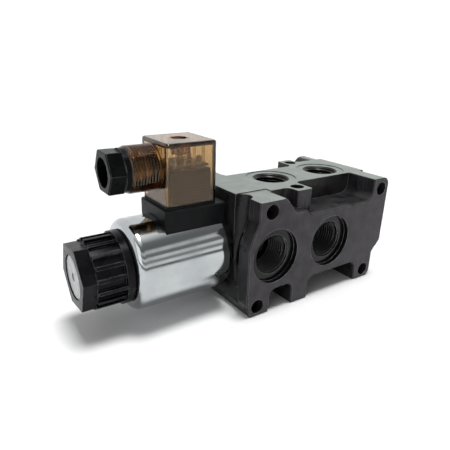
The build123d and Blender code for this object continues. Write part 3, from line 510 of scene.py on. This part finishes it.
# thread groove of the neck, which starts its lead in from the neck's end
neckThread = {"pitch": 1.5 * mm, "root": 12.4 * mm, "crest": 11.15 * mm, "base": 1.3 * mm,
              "land": 0.3 * mm, "turns": 9.8, "segments": 72, "lead": 0.9 * mm}
weld = {"points": 1e-6, "edges": 1e-7}  # points closer than this are one, and shorter edges go


def weldedCopy(node, name):
    # the frame's mesh as one closed skin, which a boolean needs
    mesh = nodes[node].data.copy()
    work = bmesh.new()
    work.from_mesh(mesh)
    bmesh.ops.remove_doubles(work, verts=work.verts, dist=weld["points"])
    bmesh.ops.dissolve_degenerate(work, edges=work.edges, dist=weld["edges"])
    work.to_mesh(mesh)
    work.free()
    piece = bpy.data.objects.new(name, mesh)
    bpy.context.scene.collection.objects.link(piece)
    return piece


def cutAway(piece, tool):
    # the piece keeps the cut mesh, and the tool goes
    modifier = piece.modifiers.new("cut", "BOOLEAN")
    modifier.operation = "DIFFERENCE"
    modifier.solver = "EXACT"
    modifier.object = tool
    bpy.context.view_layer.update()
    graph = bpy.context.evaluated_depsgraph_get()
    mesh = bpy.data.meshes.new_from_object(piece.evaluated_get(graph))
    piece.modifiers.clear()
    piece.data = mesh
    bpy.data.objects.remove(tool)


housing = weldedCopy("connector_housing", "connectorHousing")
housingLow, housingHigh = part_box("connector_housing")
neckLow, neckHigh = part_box("gland_washer")
neckCentre = (neckLow + neckHigh) / 2
threadStart = Vector((housingLow.x + neckThread["lead"], 0, neckCentre.z))
points, faces = threadRidge(threadStart, (1, 0, 0), neckThread)
cutAway(housing, solidMesh("neckTool", points, faces))
coat(housing, amber)
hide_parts("connector_housing")
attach(housing, "connector")
print("housing threaded", len(housing.data.vertices))

# the return spring as a welded copy with a mesh of its own, riding on the valve block
spring = weldedCopy("return_spring", "returnSpring")
coat(spring, metals["springSteel"])
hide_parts("return_spring")
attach(spring, "valve_block")
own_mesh(spring)

# ribs that hang from the housing's roof along its front and back walls, in millimetres: they stand
# a hair's gap off the walls, and their places are measured from the screw's middle
wallRibs = {"width": 0.9, "depth": 1.3, "drop": 9.6, "wall": 1.8, "roof": 2.4, "gap": 0.03,
            "places": (-8.2, -3.4, 1.6, 6.8)}


def boxPoints(low, high):
    points = [(x, y, z) for x in (low[0], high[0]) for y in (low[1], high[1]) for z in (low[2], high[2])]
    faces = [(0, 1, 3, 2), (4, 6, 7, 5), (0, 4, 5, 1), (2, 3, 7, 6), (0, 2, 6, 4), (1, 5, 7, 3)]
    return points, faces


middleX = sum(corner.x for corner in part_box("screw_washer")) / 2
roofZ = housingHigh.z - (wallRibs["roof"] + wallRibs["gap"]) * mm
for number, place in enumerate(wallRibs["places"]):
    for side in (-1, 1):
        outerY = side * (housingHigh.y - (wallRibs["wall"] + wallRibs["gap"]) * mm)
        innerY = outerY - side * wallRibs["depth"] * mm
        leftX = middleX + (place - wallRibs["width"] / 2) * mm
        rightX = middleX + (place + wallRibs["width"] / 2) * mm
        low = (leftX, min(innerY, outerY), roofZ - wallRibs["drop"] * mm)
        high = (rightX, max(innerY, outerY), roofZ)
        name = "wallRib_%d_%s" % (number + 1, "front" if side < 0 else "back")
        rib = solidMesh(name, *boxPoints(low, high))
        coat(rib, amber)
        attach(rib, "connector")
print("ribs placed")

studio = {
    "camera": {"place": (-0.16553, -0.19512, 0.13347), "azimuth": -34.92, "elevation": 21.06,
               "roll": 1.56, "lens": 34.2912, "sensor": 36.0, "nearest": 0.005},
    "floor": {"colour": "#f4f4f4", "light": "#fafafa", "fibre": 2.0, "size": 12.0, "roughness": 0.9,
              "shine": 0.2},
    "sun": {"strength": 2.75, "angle": 20.0, "from": (0.12, -0.06, 1.0)},
    "leftBox": {"place": (-0.55, -0.25, 0.35), "target": (-0.04, 0, 0.04), "size": (0.35, 0.5),
                "power": 0.55},
}
# the tent's strength in reflections and as fill light, the paper that the camera sees, and the bands
# from horizon to zenith, which turn to white on the far side over the width of the fade
tent = {
    "strength": 1.0, "fill": 0.38, "paper": 1.1, "fade": 0.15,
    "bands": ((0.0, 0.6), (0.03, 0.5), (0.05, 0.12), (0.1, 0.14), (0.13, 0.95), (0.22, 0.95),
              (0.25, 0.35), (0.33, 0.3), (0.36, 0.8), (0.44, 0.85), (0.47, 0.2), (0.56, 0.25),
              (0.6, 0.75), (0.66, 0.7), (0.7, 0.16), (0.85, 0.22), (0.93, 1.0), (1.0, 1.0)),
}


def placeCamera(look):
    azimuth, elevation, roll = (math.radians(look[k]) for k in ("azimuth", "elevation", "roll"))
    level = math.cos(elevation)
    back = Vector((math.sin(azimuth) * level, -math.cos(azimuth) * level, math.sin(elevation)))
    right = Vector((math.cos(azimuth), math.sin(azimuth), 0))
    upward = back.cross(right)
    rightRolled = right * math.cos(roll) + upward * math.sin(roll)
    upRolled = upward * math.cos(roll) - right * math.sin(roll)
    data = bpy.data.cameras.new("camera")
    data.sensor_width = look["sensor"]
    data.lens = look["lens"]
    data.clip_start = look["nearest"]
    camera = bpy.data.objects.new("camera", data)
    turn = Matrix((rightRolled, upRolled, back)).transposed().to_4x4()
    camera.matrix_world = Matrix.Translation(look["place"]) @ turn
    bpy.context.scene.collection.objects.link(camera)
    bpy.context.scene.camera = camera


def placeSoftbox(name, look):
    data = bpy.data.lights.new(name, "AREA")
    data.shape = "RECTANGLE"
    data.size, data.size_y = look["size"]
    data.energy = look["power"]
    light = bpy.data.objects.new(name, data)
    light.location = look["place"]
    aim = Vector(look["target"]) - Vector(look["place"])
    light.rotation_euler = aim.to_track_quat("-Z", "Y").to_euler()
    bpy.context.scene.collection.objects.link(light)


def placeSun(look):
    # large overhead softbox, far enough away to light the whole floor evenly
    data = bpy.data.lights.new("overhead", "SUN")
    data.energy = look["strength"]
    data.angle = math.radians(look["angle"])
    light = bpy.data.objects.new("overhead", data)
    light.rotation_euler = Vector(look["from"]).to_track_quat("Z", "Y").to_euler()
    bpy.context.scene.collection.objects.link(light)


def makeTent(look):
    # bright studio tent with darker bands, which the camera itself doesn't see
    world = bpy.data.worlds.new("tent")
    bpy.context.scene.world = world
    world.use_nodes = True
    tree = world.node_tree
    tree.nodes.clear()
    place = addNode(tree, "ShaderNodeTexCoord").outputs["Generated"]
    facing = addNode(tree, "ShaderNodeSeparateXYZ", {0: place}).outputs
    ramp = addNode(tree, "ShaderNodeValToRGB", {0: facing["Z"]})
    for height, grey in look["bands"][1:-1]:
        ramp.color_ramp.elements.new(height)
    for element, (height, grey) in zip(ramp.color_ramp.elements, look["bands"]):
        element.position = height
        element.color = (grey, grey, grey, 1)
    behind = insideAll(tree, [(facing["Y"], -look["fade"], look["fade"])])
    colour = paintOver(tree, ramp, [(behind, "#ffffff")])
    rays = addNode(tree, "ShaderNodeLightPath").outputs
    strength = addNode(tree, "ShaderNodeMapRange", {0: rays["Is Diffuse Ray"], 3: look["strength"],
                                                    4: look["fill"]})
    walls = addNode(tree, "ShaderNodeBackground", {"Color": colour, "Strength": strength})
    paper = addNode(tree, "ShaderNodeBackground", {"Color": "#ffffff", "Strength": look["paper"]})
    mixed = addNode(tree, "ShaderNodeMixShader", {0: rays["Is Camera Ray"], 1: walls, 2: paper})
    addNode(tree, "ShaderNodeOutputWorld", {"Surface": mixed})


def makeFloor(look):
    # matt studio paper: white, with a faint fibre
    half = look["size"] / 2
    corners = [(-half, -half, 0), (half, -half, 0), (half, half, 0), (-half, half, 0)]
    mesh = bpy.data.meshes.new("floor")
    mesh.from_pydata(corners, [], [(0, 1, 2, 3)])
    floor = bpy.data.objects.new("floor", mesh)
    bpy.context.scene.collection.objects.link(floor)
    material, tree = newTree("studioPaper")
    place = addNode(tree, "ShaderNodeTexCoord").outputs["Object"]
    fibre = grainAt(tree, place, look["fibre"], 3.0)
    colour = paintOver(tree, look["colour"], [(fibre, look["light"])])
    shader = addNode(tree, "ShaderNodeBsdfPrincipled",
                     {"Base Color": colour, "Roughness": look["roughness"],
                      "Specular IOR Level": look["shine"]})
    addNode(tree, "ShaderNodeOutputMaterial", {"Surface": shader})
    coat(floor, material)


placeCamera(studio["camera"])
makeTent(tent)
makeFloor(studio["floor"])
placeSun(studio["sun"])
placeSoftbox("leftBox", studio["leftBox"])
bpy.context.scene.view_settings.view_transform = "Standard"
print("studio set")
